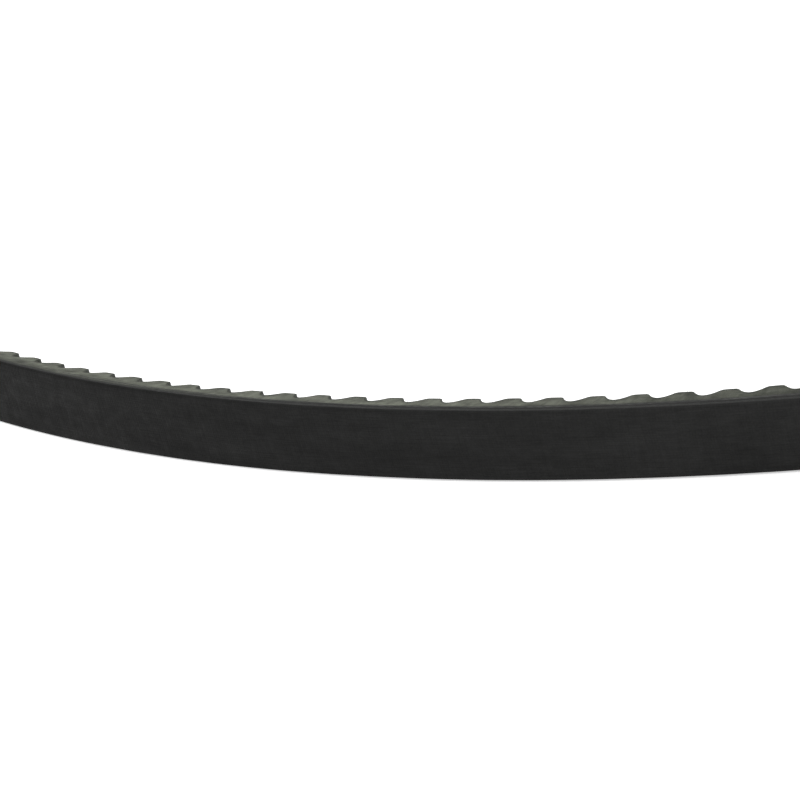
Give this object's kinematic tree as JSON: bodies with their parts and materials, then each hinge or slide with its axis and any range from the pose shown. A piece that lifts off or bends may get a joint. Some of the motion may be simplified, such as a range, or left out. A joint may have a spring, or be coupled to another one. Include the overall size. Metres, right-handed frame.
{
  "type": "raw-edge cogged v-belt",
  "caption": "Endless raw-edge cogged V-belt, lying in a relaxed, gently twisted oval, that drives grooved pulleys by its wedge-shaped flanks.",
  "frame": {"origin": "centre of the belt's oval on the plane that its lower edge stands on", "axes": "+X along the oval's long axis, +Z along the axis that the belt runs round, from the lower edge to the upper edge of its width"},
  "size_m": [1.1541, 0.9439, 0.0171],
  "materials": {
    "back_fabric": "matt rubberised weave",
    "tension_rubber": "cut, matt",
    "cushion_gum": "cut, matt",
    "tensile_cord": "twisted polyester",
    "compression_rubber": "ground, fibre-loaded, matt",
    "cog_fabric": "moulded rubberised fabric"
  },
  "bodies": {
    "root": {"back_fabric": "back_fabric", "tension_rubber": "tension_rubber", "upper_cushion_gum": "cushion_gum", "tensile_cord_s": "tensile_cord", "tensile_cord_z": "tensile_cord", "lower_cushion_gum": "cushion_gum", "compression_rubber": "compression_rubber", "cog_fabric": "cog_fabric"}
  },
  "joints": []
}
